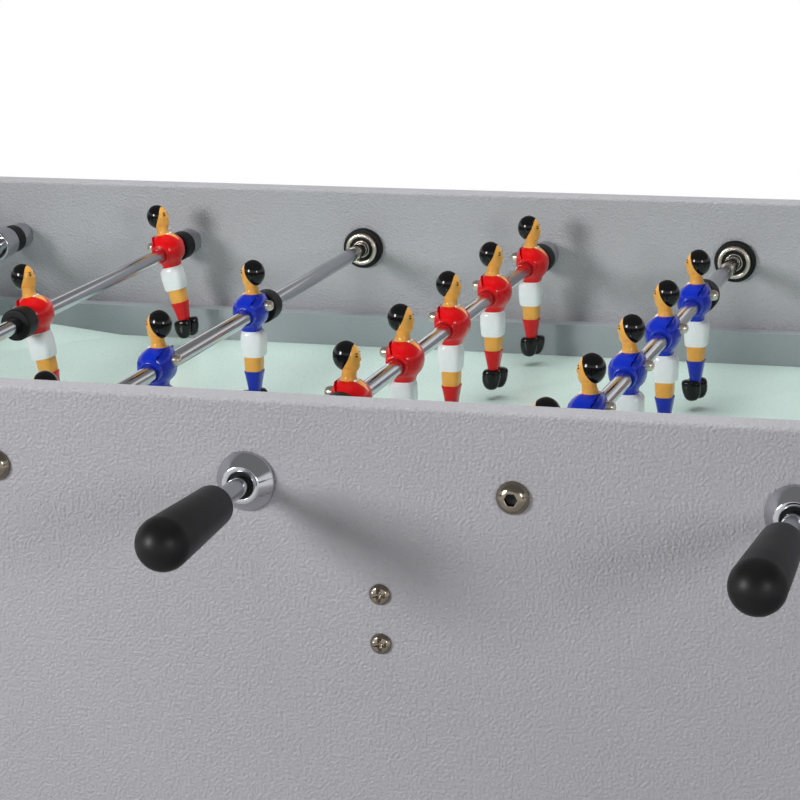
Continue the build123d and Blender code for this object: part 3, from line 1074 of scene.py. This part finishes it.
class FOOSBALL_OT_stage(bpy.types.Operator):
    """Set the floor, the studio light and the camera"""

    bl_idname = "foosball.stage"
    bl_label = "Stage"

    def execute(self, context):
        floor_half = 40.0
        bm = bmesh.new()
        bmesh.ops.create_grid(bm, x_segments=1, y_segments=1, size=floor_half)
        mesh = bpy.data.meshes.new("floor")
        bm.to_mesh(mesh)
        bm.free()
        mesh.materials.append(floor_material())
        floor = bpy.data.objects.new("floor", mesh)
        context.scene.collection.objects.link(floor)
        target = Vector((0, 0, 0.85))
        soft_box("key_light", (-1.25, -1.75, 1.36), target, 0.5, 24.0)
        soft_box("side_light", (1.6, -1.87, 1.35), target, 0.5, 10.5)
        soft_box("top_light", (-0.2, 0.2, 3.1), target, 1.8, 56.0).visible_glossy = False
        white_world(context.scene)
        photo_camera(context.scene)
        context.scene.view_settings.view_transform = "Standard"
        return {"FINISHED"}


def seen_directly(nodes):
    """Mask of rays that come from the camera, a mirror or glass."""
    rays = nodes.node("ShaderNodeLightPath")
    seen = nodes.math("MAXIMUM", rays.outputs["Is Camera Ray"], rays.outputs["Is Glossy Ray"])
    return nodes.math("MAXIMUM", seen, rays.outputs["Is Transmission Ray"])


def floor_material():
    """Pale floor that runs out to white away from the table."""
    finish = Finish("Studio floor")
    effect = finish.group(grain_group(), Grain=300.0, Clouds=2.0)
    finish.roughness(effect.outputs["Cloud"], 0.5, 0.65)
    finish.set(Base_Color=(0.66, 0.66, 0.67, 1.0))
    place = finish.node("ShaderNodeTexCoord")
    distance = finish.node("ShaderNodeVectorMath", operation="LENGTH")
    finish.link(place.outputs["Object"], distance.inputs[0])
    far = finish.node("ShaderNodeMapRange", interpolation_type="SMOOTHSTEP")
    far.inputs["From Min"].default_value = 1.2
    far.inputs["From Max"].default_value = 3.6
    finish.link(distance.outputs["Value"], far.inputs["Value"])
    glow = finish.node("ShaderNodeEmission")
    mixed = finish.node("ShaderNodeMixShader")
    share = finish.math("MULTIPLY", far.outputs["Result"], seen_directly(finish))
    finish.link(share, mixed.inputs[0])
    finish.link(finish.shader.outputs[0], mixed.inputs[1])
    finish.link(glow.outputs[0], mixed.inputs[2])
    finish.link(mixed.outputs[0], finish.tree.nodes["Material Output"].inputs["Surface"])
    return finish.material


def soft_box(name, place, target, size, power):
    """Square soft light aimed at a point."""
    light = bpy.data.lights.new(name, "AREA")
    light.size = size
    light.energy = power
    lamp = bpy.data.objects.new(name, light)
    bpy.context.scene.collection.objects.link(lamp)
    lamp.location = place
    lamp.rotation_euler = (target - Vector(place)).to_track_quat("-Z", "Y").to_euler()
    return lamp


def white_world(scene):
    """World that is white near the horizon, darkens overhead and lights dimly."""
    world = bpy.data.worlds.new("Studio")
    scene.world = world
    world.use_nodes = True
    nodes = Nodes(world.node_tree)
    place = nodes.node("ShaderNodeTexCoord")
    axis = nodes.node("ShaderNodeSeparateXYZ")
    nodes.link(place.outputs["Generated"], axis.inputs[0])
    fall = nodes.node("ShaderNodeMapRange", interpolation_type="SMOOTHSTEP")
    for socket, value in (("From Min", 0.2), ("From Max", 0.38), ("To Min", 1.0), ("To Max", 0.25)):
        fall.inputs[socket].default_value = value
    nodes.link(axis.outputs["Z"], fall.inputs["Value"])
    room_light = 0.08
    level = nodes.node("ShaderNodeMix")
    level.inputs["A"].default_value = room_light
    nodes.link(seen_directly(nodes), level.inputs["Factor"])
    nodes.link(fall.outputs["Result"], level.inputs["B"])
    backdrop = nodes.tree.nodes["Background"]
    backdrop.inputs["Color"].default_value = (1, 1, 1, 1)
    nodes.link(level.outputs["Result"], backdrop.inputs["Strength"])


def photo_camera(scene):
    """Camera in front of the table, right of its middle, looking down on the middle rods."""
    lens = bpy.data.cameras.new("camera")
    lens.lens = 117.96
    lens.sensor_width = 36.0
    camera = bpy.data.objects.new("camera", lens)
    scene.collection.objects.link(camera)
    place = Matrix.Translation((0.4141, -1.6402, 1.2350))
    turn = Matrix.Rotation(math.radians(17.245), 4, "Z")
    tip = Matrix.Rotation(math.radians(90 - 13.768), 4, "X")
    roll = Matrix.Rotation(math.radians(-1.16), 4, "Z")
    camera.matrix_world = place @ turn @ tip @ roll
    scene.camera = camera


operators = (
    FOOSBALL_OT_cabinet,
    FOOSBALL_OT_field,
    FOOSBALL_OT_bearings,
    FOOSBALL_OT_guide_bars,
    FOOSBALL_OT_fasteners,
    FOOSBALL_OT_tubes,
    FOOSBALL_OT_handles,
    FOOSBALL_OT_bumpers,
    FOOSBALL_OT_players,
    FOOSBALL_OT_stage,
)


class FOOSBALL_PT_panel(bpy.types.Panel):
    """Lists the steps that dress the table"""

    bl_idname = "FOOSBALL_PT_panel"
    bl_label = "Foosball Table"
    bl_space_type = "VIEW_3D"
    bl_region_type = "UI"
    bl_category = "Foosball"

    def draw(self, context):
        for operator in operators:
            self.layout.operator(operator.bl_idname)
        for group in (context.scene.foosball_colours, context.scene.foosball_sizes):
            for name in group.__annotations__:
                self.layout.prop(group, name)


classes = (FOOSBALL_colours, FOOSBALL_sizes, *operators, FOOSBALL_PT_panel)


def register():
    """Register the classes and the settings."""
    for entry in classes:
        bpy.utils.register_class(entry)
    bpy.types.Scene.foosball_colours = PointerProperty(type=FOOSBALL_colours)
    bpy.types.Scene.foosball_sizes = PointerProperty(type=FOOSBALL_sizes)


def unregister():
    """Remove the settings and the classes."""
    del bpy.types.Scene.foosball_sizes
    del bpy.types.Scene.foosball_colours
    for entry in reversed(classes):
        bpy.utils.unregister_class(entry)


def main():
    """Dress the table step by step."""
    register()
    for operator in operators:
        family, step = operator.bl_idname.split(".")
        getattr(getattr(bpy.ops, family), step)()


if __name__ == "__main__":
    main()
